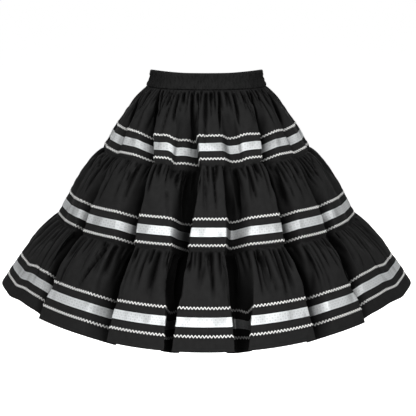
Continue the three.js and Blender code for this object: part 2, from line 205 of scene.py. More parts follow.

# The larger creases of the front. They start at one angle and share of the tier
# and end at another, with their half-width and depth in millimetres. Those with a lean are
# steeper on that side: -1 is left and 1 is right.
Crease = namedtuple("Crease", "angle to start end wide deep lean", defaults=(0,))
CREASES = {
    1: [
        Crease(-84, -80, 0.02, 0.40, 4, 6),
        Crease(-72.5, -61.8, 0.10, 0.62, 5, 8, -1),
        Crease(-61, -56.5, 0.04, 0.36, 4, 6),
        Crease(-48, -34.8, 0.02, 0.66, 5, 10, -1),
        Crease(-43, -33.5, 0.02, 0.44, 3, 8),
        Crease(-33.5, -31, 0.03, 0.30, 5, 5),
        Crease(-25, -20, 0.03, 0.64, 5, 6, 1),
        Crease(-20, -17.2, 0.03, 0.25, 3, 8),
        Crease(-13.2, -7.5, 0.02, 0.70, 4, 10, -1),
        Crease(-7.4, -5.2, 0.02, 0.66, 3, 7),
        Crease(-0.5, -0.8, 0.02, 0.46, 6, 5),
        Crease(4.5, 4, 0.02, 0.19, 4, 8),
        Crease(11.5, 8.5, 0.02, 0.64, 4, 9, 1),
        Crease(18, 16.8, 0.02, 0.26, 4, 6),
        Crease(24.5, 20.6, 0.04, 0.60, 4, 7, 1),
        Crease(33.5, 28.2, 0.02, 0.42, 5, 5),
        Crease(40.3, 36.5, 0.02, 0.27, 4, 7),
        Crease(44, 35.5, 0.03, 0.66, 5, 11, 1),
        Crease(52.5, 45.5, 0.02, 0.26, 3, 7),
        Crease(62, 56, 0.02, 0.27, 4, 7),
        Crease(68.5, 62, 0.08, 0.60, 5, 9, 1),
        Crease(79, 75, 0.02, 0.38, 4, 6),
        Crease(-17, -13.5, 0.30, 3.00, 22, 7, -1),
        Crease(18, 19, 0.30, 3.00, 18, 4),
    ],
    2: [
        Crease(-84, -80, 0.00, 0.30, 5, 5),
        Crease(-73, -62.2, 0.00, 0.27, 5, 6),
        Crease(-59, -54.8, 0.00, 0.64, 5, 7, -1),
        Crease(-54.8, -50, 0.00, 0.36, 4, 7),
        Crease(-45, -44, 0.00, 0.24, 5, 5),
        Crease(-36.5, -35.8, 0.04, 0.62, 5, 6, 1),
        Crease(-30.5, -27.5, 0.00, 0.70, 5, 7, -1),
        Crease(-23.4, -22, 0.00, 0.27, 4, 5),
        Crease(-16.8, -12.2, 0.30, 0.92, 6, 4),
        Crease(-14.2, -12.5, 0.04, 0.35, 3, 6),
        Crease(-11.4, -11, 0.00, 0.55, 4, 7, -1),
        Crease(-5.8, -6, 0.00, 0.50, 4, 6),
        Crease(-1, 0, 0.02, 0.72, 5, 5),
        Crease(3.2, 3.8, 0.02, 0.27, 4, 5),
        Crease(10.8, 9.6, 0.00, 0.78, 8, 22),
        Crease(-8, -8.3, 0.00, 0.80, 10, 22),
        Crease(15, 12.5, 0.00, 0.74, 4, 13, 1),
        Crease(20.2, 19, 0.00, 0.62, 6, 5),
        Crease(25.2, 24.2, 0.00, 0.18, 4, 7),
        Crease(32.2, 29.2, 0.02, 0.36, 2.5, 7),
        Crease(37.5, 33.5, 0.02, 0.72, 6, 8, 1),
        Crease(50, 46.5, 0.00, 0.32, 4, 7),
        Crease(53.5, 52.2, 0.00, 0.62, 8, 6, 1),
        Crease(71, 61.2, 0.00, 0.36, 5, 6),
        Crease(82, 79, 0.00, 0.30, 5, 5),
    ],
    3: [
        Crease(-85, -82, 0.00, 0.30, 5, 5),
        Crease(-72, -66, 0.00, 0.26, 5, 6),
        Crease(-59, -58, 0.02, 0.40, 5, 5),
        Crease(-49.5, -49.5, 0.00, 0.34, 5, 6),
        Crease(-38.4, -37.2, 0.00, 0.15, 3, 7),
        Crease(-36.6, -41.2, 0.05, 0.62, 5, 9, -1),
        Crease(-33, -31.8, 0.01, 0.38, 3, 7),
        Crease(-24, -23, 0.00, 0.20, 4, 6),
        Crease(-56.5, -53.5, 0.00, 0.82, 17, 22),
        Crease(-28, -27.4, 0.02, 0.72, 7.5, 14),
        Crease(-15.8, -16, 0.00, 0.64, 10, 7),
        Crease(-8.4, -8.8, 0.00, 0.70, 7.5, 12),
        Crease(8.8, 8.2, 0.00, 0.70, 7.5, 15),
        Crease(31, 30.8, 0.02, 0.72, 7.5, 14),
        Crease(53, 49, 0.00, 0.82, 17, 22),
        Crease(-12.2, -10.2, 0.00, 0.64, 8, 5),
        Crease(-5, -5.2, 0.00, 0.25, 4, 8),
        Crease(0.2, -3.2, 0.00, 0.48, 6, 5),
        Crease(1.7, 1.5, 0.00, 0.16, 4, 6),
        Crease(5.5, 5.2, 0.01, 0.62, 6, 5),
        Crease(17.6, 16.8, 0.00, 0.16, 4, 7),
        Crease(17.6, 19.2, 0.04, 0.60, 10, 7, 1),
        Crease(25.6, 24, 0.01, 0.58, 6, 5),
        Crease(28.4, 29, 0.00, 0.20, 3, 8),
        Crease(36.4, 31.5, 0.00, 0.62, 6, 6),
        Crease(46.8, 46, 0.00, 0.15, 4, 7),
        Crease(52, 46.8, 0.00, 0.50, 6, 8, 1),
        Crease(58, 56, 0.05, 0.52, 5, 5),
        Crease(66, 64, 0.00, 0.28, 5, 6),
        Crease(83, 80, 0.00, 0.30, 5, 5),
    ],
}
# The back has creases like the front's, a little off their places and less deep.
BACK_SHIFT = 3.5
BACK_SHARE = 0.85
# How deep the larger creases are, as a share of the depths in their table.
CREASE_SHARE = 1.2
# A crease is open from this share of its length, fades from the next to its end, and is wider
# there by the third. Its steep side is as wide as the fourth, and a larger shape has a flatter
# bottom.
CREASE_OPENS = 0.06
CREASE_FADES = 0.35
CREASE_WIDENS = 0.7
STEEP_SIDE = 0.5
CREASE_SHAPE = 1.5

# The grooves along the seams: how deep and how wide they are, in millimetres, and how deep the
# waistband's is, as a share of the others.
SEAM_GROOVE = 2.4
SEAM_REACH = 3.0
WAIST_GROOVE = 0.3
# The slow swell of the loose cloth between the folds, in millimetres.
SWELL = 1.8
# How much lower the cloth hangs for each millimetre that a larger crease takes up.
SAG = 0.6
# The seam allowance stands up inside the piece above, and leans in by this much for each
# millimetre up.
ALLOWANCE = 7 * MM
ALLOWANCE_LEAN = 0.5
# The allowance's part of the cloth's pattern, as a share of the tier.
ALLOWANCE_SHARE = 0.03
# The larger creases of a tier run on over its seam, and die out in this share of the next tier.
CARRIED_DOWN = 0.5


def smooth(value, low, high):
    """Rises softly from 0 at low to 1 at high."""
    share = np.clip((value - low) / (high - low), 0, 1)
    return share * share * (3 - 2 * share)


def hermite(x, xs, ys):
    """A smooth curve through the points xs, ys, read at x."""
    slopes = np.gradient(ys, xs)
    left = np.clip(np.searchsorted(xs, x, side="right") - 1, 0, len(xs) - 2)
    span = xs[left + 1] - xs[left]
    share = (x - xs[left]) / span
    rest = 1 - share
    return (
        ys[left] * (1 + 2 * share) * rest ** 2
        + ys[left + 1] * (3 - 2 * share) * share ** 2
        + slopes[left] * span * share * rest ** 2
        - slopes[left + 1] * span * share ** 2 * rest
    )


def ring_at(tier, level):
    """The frame's rings of one tier, run smoothly into each other and read at a level."""
    first = WAIST_SEAM_RING + (tier.number - 1) * RINGS_PER_TIER
    rings = np.array(RINGS[first:first + RINGS_PER_TIER + 1], float)
    return Ring(*[hermite(level, rings[:, 0], rings[:, field]) for field in range(rings.shape[1])])


def settled(field, level):
    """A column of the valleys' table at a level, for every valley."""
    return np.array([np.interp(level, LEVELS, getattr(valley, field)) for valley in VALLEYS])


def cloth_row(ring, level, places):
    """The points of the smooth cloth round one ring, in metres, and their angles in degrees."""
    whole = np.floor(places).astype(int)
    across = places - whole
    left = whole % RIDGES
    right = (whole + 1) % RIDGES
    angle, depth, slip, ridge, before, after, under = (
        settled(field, level) for field in Valley._fields)
    left_angle = angle[left] + FULL_TURN * (whole // RIDGES)
    right_angle = angle[right] + FULL_TURN * ((whole + 1) // RIDGES)
    left_sunk = 1 - smooth(across, 0, after[left])
    right_sunk = 1 - smooth(1 - across, 0, before[right])
    stand = ridge[left]
    sunk = stand + (depth[left] - stand) * left_sunk + (depth[right] - stand) * right_sunk
    hung = np.minimum(depth, LOWEST_DROP)
    lowered = hung[left] * left_sunk + hung[right] * right_sunk
    slid = slip[left] * left_sunk + slip[right] * right_sunk
    # A wall runs in furthest at half its depth, where the products below are a quarter.
    tucked = 4 * (
        under[left] * left_sunk * (1 - left_sunk) - under[right] * right_sunk * (1 - right_sunk))
    degrees = left_angle + (right_angle - left_angle) * across + slid + tucked
    turn = np.radians(degrees)
    sideways = np.sin(turn)
    backwards = -np.cos(turn)
    full = 1 - HEM_PINCH * (level / len(TIERS)) ** 2 * np.sin(2 * turn) ** 2
    lift = ring.lift * sideways ** LIFT_POWER
    dip = ring.dip * np.maximum(backwards, 0) ** DIP_POWER
    out = np.stack([sideways / ring.half_width, backwards / ring.half_depth], axis=-1)
    out /= np.linalg.norm(out, axis=-1, keepdims=True)
    x = full * ring.half_width * sideways - ring.fold * sunk * out[..., 0]
    y = full * ring.half_depth * backwards - ring.fold * sunk * out[..., 1]
    z = ring.height - ring.drop * lowered + lift - dip
    return np.stack([x, y, z], axis=-1) * MM, degrees


def normals_of(points):
    """The outward directions of a grid of points whose rows run down and columns run round."""
    normals = np.cross(np.gradient(points, axis=0), np.gradient(points, axis=1))
    return normals / np.linalg.norm(normals, axis=-1, keepdims=True)


def closer_at_valleys(places):
    """Draws the columns of a mesh closer together at the valleys."""
    return places - CLOSER * np.sin(2 * math.pi * places) / (2 * math.pi)


def placed_creases(tier):
    """The larger creases of a tier, front and back."""
    placed = [
        crease._replace(deep=crease.deep * CREASE_SHARE, wide=crease.wide * tier.slender)
        for crease in CREASES[tier.number]
    ]
    behind = [
        crease._replace(
            angle=180 - crease.angle + BACK_SHIFT, to=180 - crease.to + BACK_SHIFT,
            deep=crease.deep * BACK_SHARE, lean=-crease.lean)
        for crease in placed
    ]
    return placed + behind


def small_gathers(tier):
    """The small gathers under a tier's top seam, uneven in spacing, depth and length."""
    chance = np.random.default_rng(GATHER_SEED + tier.number)
    pitch = FULL_TURN / tier.gathers
    small = []
    for number in range(tier.gathers):
        angle = (number + chance.uniform(-GATHER_SHIFT, GATHER_SHIFT)) * pitch
        length = tier.short + (tier.long - tier.short) * chance.uniform(0, 1) ** SHORTER_OFTEN
        small.append(Crease(
            angle, angle + chance.uniform(-GATHER_TILT, GATHER_TILT) * pitch, 0, length,
            tier.wide * chance.uniform(*GATHER_WIDE), tier.deep * chance.uniform(*GATHER_DEEP)))
    return small


def troughs(creases, down, degrees, across_degree):
    """How far the creases press the cloth in, in millimetres, at each row and column."""
    pressed = np.zeros(degrees.shape)
    for crease in creases:
        run = (down - crease.start) / (crease.end - crease.start)
        shown = smooth(run, 0, CREASE_OPENS) * (1 - smooth(run, CREASE_FADES, 1))
        rows = shown > 0
        grown = np.clip(run[rows], 0, 1)
        middle = crease.angle + (crease.to - crease.angle) * grown
        apart = degrees[rows] - middle[:, None]
        apart -= FULL_TURN * np.round(apart / FULL_TURN)
        apart *= across_degree[rows, None]
        wide = crease.wide * (1 + CREASE_WIDENS * grown[:, None])
        wide = wide * np.where(apart * crease.lean > 0, STEEP_SIDE, 1)
        section = np.exp(-np.abs(apart / wide) ** CREASE_SHAPE)
        pressed[rows] += crease.deep * shown[rows, None] * section
    return pressed


def seam_grooves(tier, down):
    """How far the cloth is drawn in along its seams, in millimetres, at each row."""
    below_top = down * tier.tall
    above_bottom = (1 - down) * tier.tall
    top = np.exp(-(below_top / SEAM_REACH) ** 2) * (WAIST_GROOVE if tier.number == 1 else 1)
    bottom = np.exp(-(above_bottom / SEAM_REACH) ** 2) if tier.number < len(TIERS) else 0
    return SEAM_GROOVE * (top + bottom)


def swell(tier, down, degrees):
    """Slow, uneven waves of the loose cloth, in millimetres."""
    turn = np.radians(degrees)
    fall = down[:, None] * 3 + tier.number
    waves = (
        np.sin(11 * turn + 1.3 * fall) * np.sin(1.7 * fall + 3 * turn)
        + 0.7 * np.sin(23 * turn - 2.1 * fall + 0.5) * np.cos(2.9 * fall - 5 * turn)
        + 0.5 * np.sin(41 * turn + 3.7 * fall) * np.sin(4.3 * fall + 7 * turn)
    )
    return SWELL * waves * np.sin(math.pi * np.clip(down * 1.1, 0, 1))[:, None]


def tier_cloth(tier, places):
    """The middle surface of one tier at these places, and how far down the tier each row is."""
    down = np.linspace(0, 1, tier.rows) ** ROWS_CROWD
    levels = tier.number - 1 + down
    rings = [ring_at(tier, level) for level in levels]
    found = [cloth_row(ring, level, places) for ring, level in zip(rings, levels)]
    points = np.array([row[0] for row in found])
    degrees = np.array([row[1] for row in found])
    across_degree = np.array(
        [math.radians(ring.half_width + ring.half_depth) / 2 for ring in rings])
    placed = troughs(placed_creases(tier), down, degrees, across_degree)
    if tier.number > 1:
        above = placed_creases(TIERS[tier.number - 2])
        at_bottom = np.ones(len(down))
        at_seam = np.full(len(down), across_degree[0])
        carried = troughs(above, at_bottom, degrees, at_seam)
        carried *= 1 - smooth(down, 0, CARRIED_DOWN)[:, None]
        points[..., 2] -= SAG * carried * MM
        points -= normals_of(points) * carried[..., None] * MM
    small = troughs(small_gathers(tier), down, degrees, across_degree)
    pressed = placed + small + seam_grooves(tier, down)[:, None] + swell(tier, down, degrees)
    sag = SAG * placed * down[:, None]
    points[..., 2] -= sag * MM
    points -= normals_of(points) * pressed[..., None] * MM
    edge = points[0]
    outwards = edge * (1, 1, 0) / np.linalg.norm(edge[:, :2], axis=-1, keepdims=True)
    allowance = edge + ALLOWANCE * (np.array([0, 0, 1]) - ALLOWANCE_LEAN * outwards)
    return np.concatenate([allowance[None], points]), np.concatenate([[-ALLOWANCE_SHARE], down])


def linear(hex_colour):
    """An sRGB hex colour as linear red, green, blue and alpha."""
    parts = [(hex_colour >> shift & 255) / 255 for shift in (16, 8, 0)]
    return tuple(p / 12.92 if p <= 0.04045 else ((p + 0.055) / 1.055) ** 2.4 for p in parts) + (1,)


def add_node(tree, kind, inputs=(), **settings):
    """Adds a shader node with its settings, and sets its inputs or links them. A node given as an
    input stands for its first output."""
    node = tree.nodes.new(kind)
    for name, value in settings.items():
        setattr(node, name, value)
    for name, value in dict(inputs).items():
        if isinstance(value, bpy.types.Node):
            value = value.outputs[0]
        if isinstance(value, bpy.types.NodeSocket):
            tree.links.new(value, node.inputs[name])
        else:
            node.inputs[name].default_value = value
    return node


def new_material(name):
    """An empty material and its node tree."""
    material = bpy.data.materials.new(name)
    material.use_nodes = True
    material.node_tree.nodes.clear()
    return material, material.node_tree


def finish_material(tree, shader):
    """Links a shader to the material's output."""
    add_node(tree, "ShaderNodeOutputMaterial", {"Surface": shader.outputs[0]})


def painted_fold_shade(tree, colour):
    """Paints shade into a colour inside folds and creases, darker where their walls close in round
    it.
    """
    where = add_node(tree, "ShaderNodeTexCoord").outputs["Object"]
    height = add_node(tree, "ShaderNodeSeparateXYZ", {"Vector": where}).outputs["Z"]
    reach = add_node(
        tree, "ShaderNodeMath", {0: height, 1: FOLD_WIDENING, 2: FOLD_REACH},
        operation="MULTIPLY_ADD")
    closed = add_node(
        tree, "ShaderNodeAmbientOcclusion", {"Distance": reach}, samples=FOLD_SAMPLES)
    shade = add_node(
        tree, "ShaderNodeMath", {0: closed.outputs["AO"], 1: FOLD_PAINTED_SHADE}, operation="POWER")
    dark = add_node(
        tree, "ShaderNodeMix", {"Factor": 1.0, "A": colour, "B": shade},
        data_type="RGBA", blend_type="MULTIPLY")
    return dark.outputs["Result"]


def ripple(tree, length, pitch):
    """A wave between -1 and 1 that repeats every pitch metres along a length."""
    turned = add_node(
        tree, "ShaderNodeMath", {0: length, 1: 2 * math.pi / pitch}, operation="MULTIPLY")
    return add_node(tree, "ShaderNodeMath", {0: turned}, operation="COSINE")


def times(colour, share):
    """A colour made lighter or darker."""
    return tuple(share * part for part in colour[:3]) + (1,)


def poly_cotton(name, colour, stitched=None):
    """Black poly-cotton in a plain weave. It is matt, so the eye gets a soft black without any
    shine on the ridges, a weave of real size under a close look, faint slubs along the threads
    and uneven dye. A stitched line at a height on the strip holds up the hem."""
    material, tree = new_material(name)
    place = add_node(tree, "ShaderNodeUVMap").outputs["UV"]
    parts = add_node(tree, "ShaderNodeSeparateXYZ", {"Vector": place})
    along, down = parts.outputs["X"], parts.outputs["Y"]
    mottle = add_node(
        tree, "ShaderNodeTexNoise", {"Vector": place, "Scale": DYE_CLOUDS, "Detail": 3})
    tint = add_node(tree, "ShaderNodeMix", {
        "Factor": mottle,
        "A": times(colour, DYE_THIN),
        "B": times(colour, DYE_RICH),
    }, data_type="RGBA")
    stretched = add_node(tree, "ShaderNodeMapping", {"Vector": place, "Scale": SLUB_SCALE})
    slubs = add_node(tree, "ShaderNodeTexNoise", {
        "Vector": stretched, "Scale": 1.0, "Detail": 1})
    woven = add_node(tree, "ShaderNodeMath", {
        0: ripple(tree, along, 2 * WARP_PITCH),
        1: ripple(tree, down, 2 * WEFT_PITCH),
    }, operation="MULTIPLY")
    height = add_node(
        tree, "ShaderNodeMath", {0: woven, 1: WEAVE_RISE, 2: slubs}, operation="MULTIPLY_ADD")
    if stitched is not None:
        off = add_node(tree, "ShaderNodeMath", {0: down, 1: stitched}, operation="SUBTRACT")
        away = add_node(tree, "ShaderNodeMath", {0: off}, operation="ABSOLUTE")
        near = add_node(tree, "ShaderNodeMath", {0: away, 1: HEM_LINE / 2}, operation="LESS_THAN")
        stitches = ripple(tree, along, STITCH_LENGTH)
        sunk = add_node(
            tree, "ShaderNodeMath", {0: stitches, 1: STITCH_RISE, 2: HEM_SUNK},
            operation="MULTIPLY_ADD")
        height = add_node(
            tree, "ShaderNodeMath", {0: near, 1: sunk, 2: height}, operation="MULTIPLY_ADD")
    bump = add_node(tree, "ShaderNodeBump", {
        "Strength": 0.3, "Distance": 0.2 * MM, "Height": height})
    finish_material(tree, add_node(tree, "ShaderNodeBsdfPrincipled", {
        # The base colour carries painted shade in the folds.
        "Base Color": painted_fold_shade(tree, tint.outputs["Result"]),
        "Roughness": 0.9,
        "Sheen Weight": 0.01,
        "Sheen Roughness": 0.5,
        "Specular IOR Level": 0.03,
        "Normal": bump.outputs["Normal"],
    }))
    return material


def brocade_ribbon(name, colour):
    """Silver-white brocade ribbon, woven with a satin ground. The eye gets a near-white band that
    flares where it faces the light, with painted sheen and shade that turn it grey in patches, a
    duller figure of florets in a diamond trellis, plain firm edges and painted shade in its folds."""
    material, tree = new_material(name)
    place = add_node(tree, "ShaderNodeUVMap").outputs["UV"]
    parts = add_node(tree, "ShaderNodeSeparateXYZ", {"Vector": place})
    along, across = parts.outputs["X"], parts.outputs["Y"]
    crossed = add_node(tree, "ShaderNodeMath", {
        0: ripple(tree, along, MOTIF_PITCH),
        1: ripple(tree, across, MOTIF_PITCH),
    }, operation="ADD")
    lattice = add_node(tree, "ShaderNodeMath", {0: crossed}, operation="ABSOLUTE")
    floret = add_node(
        tree, "ShaderNodeMath", {0: lattice, 1: FLORET_EDGE}, operation="GREATER_THAN")
    trellis = add_node(
        tree, "ShaderNodeMath", {0: lattice, 1: TRELLIS_LINE}, operation="LESS_THAN")
    drawn = add_node(tree, "ShaderNodeMath", {0: floret, 1: trellis}, operation="MAXIMUM")
    off = add_node(tree, "ShaderNodeMath", {0: across, 1: MOTIF_PITCH}, operation="SUBTRACT")
    away = add_node(tree, "ShaderNodeMath", {0: off}, operation="ABSOLUTE")
    inside = add_node(
        tree, "ShaderNodeMath", {0: away, 1: MOTIF_PITCH - SELVEDGE}, operation="LESS_THAN")
    figure = add_node(tree, "ShaderNodeMath", {0: drawn, 1: inside}, operation="MULTIPLY")
    tint = add_node(tree, "ShaderNodeMix", {
        "Factor": figure,
        "A": colour,
        "B": times(colour, FIGURE_TONE),
    }, data_type="RGBA")
    # Painted sheen and shade: noise patches along the ribbon make its colour lighter and darker.
    waves = add_node(tree, "ShaderNodeMapping", {"Vector": place, "Scale": PAINTED_SHEEN_SCALE})
    painted_sheen = add_node(tree, "ShaderNodeTexNoise", {
        "Vector": waves, "Scale": 1.0, "Detail": 1.0})
    shade = add_node(tree, "ShaderNodeMapRange", {
        "Value": painted_sheen,
        "From Min": PAINTED_SHADE_BELOW,
        "From Max": PAINTED_SHEEN_ABOVE,
        "To Min": PAINTED_SHADE_TONE,
        "To Max": 1.0,
    }, interpolation_type="SMOOTHSTEP")
    with_painted_sheen = add_node(tree, "ShaderNodeMix", {
        "Factor": 1.0,
        "A": tint.outputs["Result"],
        "B": shade.outputs["Result"],
    }, data_type="RGBA", blend_type="MULTIPLY")
    ribs = ripple(tree, along, RIB_PITCH)
    height = add_node(
        tree, "ShaderNodeMath", {0: ribs, 1: RIB_BUMP, 2: figure}, operation="MULTIPLY_ADD")
    bump = add_node(tree, "ShaderNodeBump", {
        "Strength": 0.35, "Distance": 0.3 * MM, "Height": height})
    finish_material(tree, add_node(tree, "ShaderNodeBsdfPrincipled", {
        # The base colour carries painted shade in the folds.
        "Base Color": painted_fold_shade(tree, with_painted_sheen.outputs["Result"]),
        "Roughness": 0.46,
        "Metallic": 0.2,
        "Normal": bump.outputs["Normal"],
    }))
    return material


def white_paper(name, colour):
    """A matt sweep of white paper, bright all over: the eye gets a plain floor and no horizon."""
    material, tree = new_material(name)
    finish_material(tree, add_node(tree, "ShaderNodeBsdfPrincipled", {
        "Base Color": colour,
        "Roughness": 0.9,
        "Emission Color": WHITE,
        "Emission Strength": 1.0,
    }))
    return material


def white_braid(name, colour):
    """White polyester rick rack. Its strands lie slantwise and meet along the middle, so the eye
    gets a chalky white with fine chevrons, painted shade in the grooves and folds, and no gloss."""
    material, tree = new_material(name)
    place = add_node(tree, "ShaderNodeUVMap").outputs["UV"]
    parts = add_node(tree, "ShaderNodeSeparateXYZ", {"Vector": place})
    off = add_node(
        tree, "ShaderNodeMath", {0: parts.outputs["Y"], 1: BRAID_MIDDLE}, operation="SUBTRACT")
    away = add_node(tree, "ShaderNodeMath", {0: off}, operation="ABSOLUTE")
    slant = add_node(tree, "ShaderNodeMath", {0: parts.outputs["X"], 1: away}, operation="ADD")
    strands = ripple(tree, slant.outputs["Value"], STRAND_PITCH)
    raised = add_node(
        tree, "ShaderNodeMath", {0: strands, 1: 0.5, 2: 0.5}, operation="MULTIPLY_ADD")
    # Painted shade: the grooves between the strands are coloured darker.
    tint = add_node(tree, "ShaderNodeMix", {
        "Factor": raised,
        "A": times(colour, GROOVE_PAINTED_SHADE),
        "B": colour,
    }, data_type="RGBA")
    bump = add_node(tree, "ShaderNodeBump", {
        "Strength": 0.4, "Distance": 0.2 * MM, "Height": strands})
    finish_material(tree, add_node(tree, "ShaderNodeBsdfPrincipled", {
        # The base colour carries painted shade in the folds.
        "Base Color": painted_fold_shade(tree, tint.outputs["Result"]),
        "Roughness": 0.8,
        "Normal": bump.outputs["Normal"],
    }))
    return material


def grid_mesh(name, points, uvs, looped, material, tube=False):
    """A mesh object from a grid of points, with one face to each cell and a UV map in metres.

    A looped grid's columns close round, and a tube's rows close too. Either has one more line of
    UVs than of points."""
    rows, columns = points.shape[:2]
    ids = np.arange(rows * columns).reshape(rows, columns)
    if looped:
        ids = np.column_stack([ids, ids[:, :1]])
    if tube:
        ids = np.vstack([ids, ids[:1]])
    faces = np.stack([ids[:-1, :-1], ids[1:, :-1], ids[1:, 1:], ids[:-1, 1:]], axis=-1)
    corners = np.stack([uvs[:-1, :-1], uvs[1:, :-1], uvs[1:, 1:], uvs[:-1, 1:]], axis=-2)
    mesh = bpy.data.meshes.new(name)
    mesh.from_pydata(points.reshape(-1, 3).tolist(), [], faces.reshape(-1, 4).tolist())
    layer = mesh.uv_layers.new(name="UVMap")
    layer.data.foreach_set("uv", corners.reshape(-1).astype(np.float32))
    mesh.polygons.foreach_set("use_smooth", [True] * len(mesh.polygons))
    mesh.materials.append(material)
    piece = bpy.data.objects.new(name, mesh)
    bpy.context.scene.collection.objects.link(piece)
    return piece


# Edges that turn by more than this stay crisp.
CRISP_EDGE = math.radians(50)


def thicken(piece, thickness, offset):
    """Gives a surface the cloth's thickness. The offset is 0 about the middle, and 1 outwards."""
    bpy.ops.object.select_all(action="DESELECT")
    piece.select_set(True)
    bpy.context.view_layer.objects.active = piece
    modifier = piece.modifiers.new("Thickness", "SOLIDIFY")
    modifier.thickness = thickness
    modifier.offset = offset
    bpy.ops.object.modifier_apply(modifier=modifier.name)
    bpy.ops.object.shade_smooth_by_angle(angle=CRISP_EDGE)
    piece.select_set(False)


def grid_uvs(tier, down, places):
    """Each point's place on the cut strip, in metres."""
    along = places / RIDGES * tier.strip * MM
    height = -down * tier.tall * MM
    return np.stack(np.broadcast_arrays(along[None, :], height[:, None]), axis=-1)


def dress(piece, nodes):
    """Seats a finished piece on the frame in place of its nodes."""
    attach(piece, "root")
    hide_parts(*nodes)


class SkirtSizes(bpy.types.PropertyGroup):
    """The sizes that a maker would change."""
    cloth: bpy.props.FloatProperty(
        name="Cloth", description="Thickness of the tiers' cloth", default=0.8 * MM, unit="LENGTH")
    ribbon_width: bpy.props.FloatProperty(
        name="Ribbon width", description="Width of the brocade ribbon", default=19 * MM,
        unit="LENGTH")
    ribbon_thickness: bpy.props.FloatProperty(
        name="Ribbon thickness", description="Thickness of the ribbon", default=0.5 * MM,
        unit="LENGTH")
    braid_to_ribbon: bpy.props.FloatProperty(
        name="Braid to ribbon", description="From the ribbon's edge to the braid's middle",
        default=18.5 * MM, unit="LENGTH")
    braid_width: bpy.props.FloatProperty(
        name="Braid width", description="Height of the rick rack's waves over all",
        default=7.6 * MM, unit="LENGTH")
    braid_strip: bpy.props.FloatProperty(
        name="Braid strip", description="Width of the braid itself", default=2.6 * MM,
        unit="LENGTH")
    braid_pitch: bpy.props.FloatProperty(
        name="Braid pitch", description="Length of one wave of rick rack", default=7.15 * MM,
        unit="LENGTH")


class SkirtColours(bpy.types.PropertyGroup):
    """The colours of the cloth and the trims."""
    cloth: bpy.props.FloatVectorProperty(
        name="Cloth", description="Black poly-cotton", size=4, subtype="COLOR",
        default=linear(0x202020))
    ribbon: bpy.props.FloatVectorProperty(
        name="Ribbon", description="Silver brocade", size=4, subtype="COLOR",
        default=linear(0xCDD0D1))
    braid: bpy.props.FloatVectorProperty(
        name="Braid", description="White rick rack", size=4, subtype="COLOR",
        default=linear(0xF6F6F4))


class SKIRT_OT_tiers(bpy.types.Operator):
    """Sew the six gathered panels of the three tiers"""
    bl_idname = "skirt.tiers"
    bl_label = "Tiers"

    def execute(self, context):
        sizes = context.scene.skirt_sizes
        colour = tuple(context.scene.skirt_colours.cloth)
        plain = poly_cotton("Black poly-cotton", colour)
        hem = HEM_DEPTH - TIERS[-1].tall * MM
        hemmed = poly_cotton("Black poly-cotton, hemmed", colour, hem)
        for tier in TIERS:
            cloth = hemmed if tier is TIERS[-1] else plain
            for side, (start, end) in HALVES.items():
                places = closer_at_valleys(np.linspace(start, end, tier.columns))
                points, down = tier_cloth(tier, places)
                name = f"tier_{tier.number}_{side}"
                piece = grid_mesh(
                    f"{name}_cloth", points, grid_uvs(tier, down, places), False, cloth)
                thicken(piece, sizes.cloth, 0)
                dress(piece, [name])
        return {"FINISHED"}


# The trims are laid on lines this far apart up the cloth, which run on above the upper braid,
# and they lie this far off the cloth's face.
TRIM_COLUMNS = 90 * RIDGES
SEWING_STEP = 1.5 * MM
SEWING_MARGIN = 8 * MM
TRIM_GAP = 0.2 * MM
RIBBON_ROWS = 6
MIDDLE_ROW = 3


def sewing_rows(tier, columns, reach_up):
    """The cloth's outer surface near a tier's bottom edge, by distance above it, all round."""
    places = closer_at_valleys(np.linspace(0, RIDGES, columns, endpoint=False))
    points, _ = tier_cloth(tier, places)
    points = points[::-1]
    steps = np.linalg.norm(np.diff(points, axis=0), axis=-1)
    above = np.vstack([np.zeros(columns), np.cumsum(steps, axis=0)])
    heights = np.arange(0, reach_up, SEWING_STEP)
    rows = np.empty((len(heights), columns, 3))
    for column in range(columns):
        for axis in range(3):
            rows[:, column, axis] = np.interp(
                heights, above[:, column], points[:, column, axis])
    closed = np.concatenate([rows[:, -1:], rows, rows[:, :1]], axis=1)
    normals = normals_of(closed[::-1])[::-1][:, 1:-1]
    return heights, rows, normals


def sample(heights, rows, height, column):
    """Reads a looped grid between its rows and columns."""
    row = np.clip(height / (heights[1] - heights[0]), 0, len(heights) - 1.001)
    top = row.astype(int)
    share = (row - top)[..., None]
    left = np.floor(column).astype(int)
    part = (column - left)[..., None]
    left, right = left % rows.shape[1], (left + 1) % rows.shape[1]
    low = rows[top, left] * (1 - part) + rows[top, right] * part
    high = rows[top + 1, left] * (1 - part) + rows[top + 1, right] * part
    return low * (1 - share) + high * share


class SKIRT_OT_trims(bpy.types.Operator):
    """Sew the brocade ribbons and the rick rack braid round each tier"""
    bl_idname = "skirt.trims"
    bl_label = "Trims"

    def execute(self, context):
        sizes = context.scene.skirt_sizes
        colours = context.scene.skirt_colours
        brocade = brocade_ribbon("Silver brocade", tuple(colours.ribbon))
        braid = white_braid("White rick rack", tuple(colours.braid))
        for tier in TIERS:
            lower = tier.lower_braid * MM
            ribbon_low = lower + sizes.braid_to_ribbon
            ribbon_high = ribbon_low + sizes.ribbon_width
            upper = ribbon_high + sizes.braid_to_ribbon
            sewn = sewing_rows(tier, TRIM_COLUMNS, upper + SEWING_MARGIN)
            ribbon(tier, sewn, ribbon_low, ribbon_high, sizes, brocade)
            rick_rack(tier, sewn, upper, "upper", sizes, braid)
            rick_rack(tier, sewn, lower, "lower", sizes, braid)
        return {"FINISHED"}


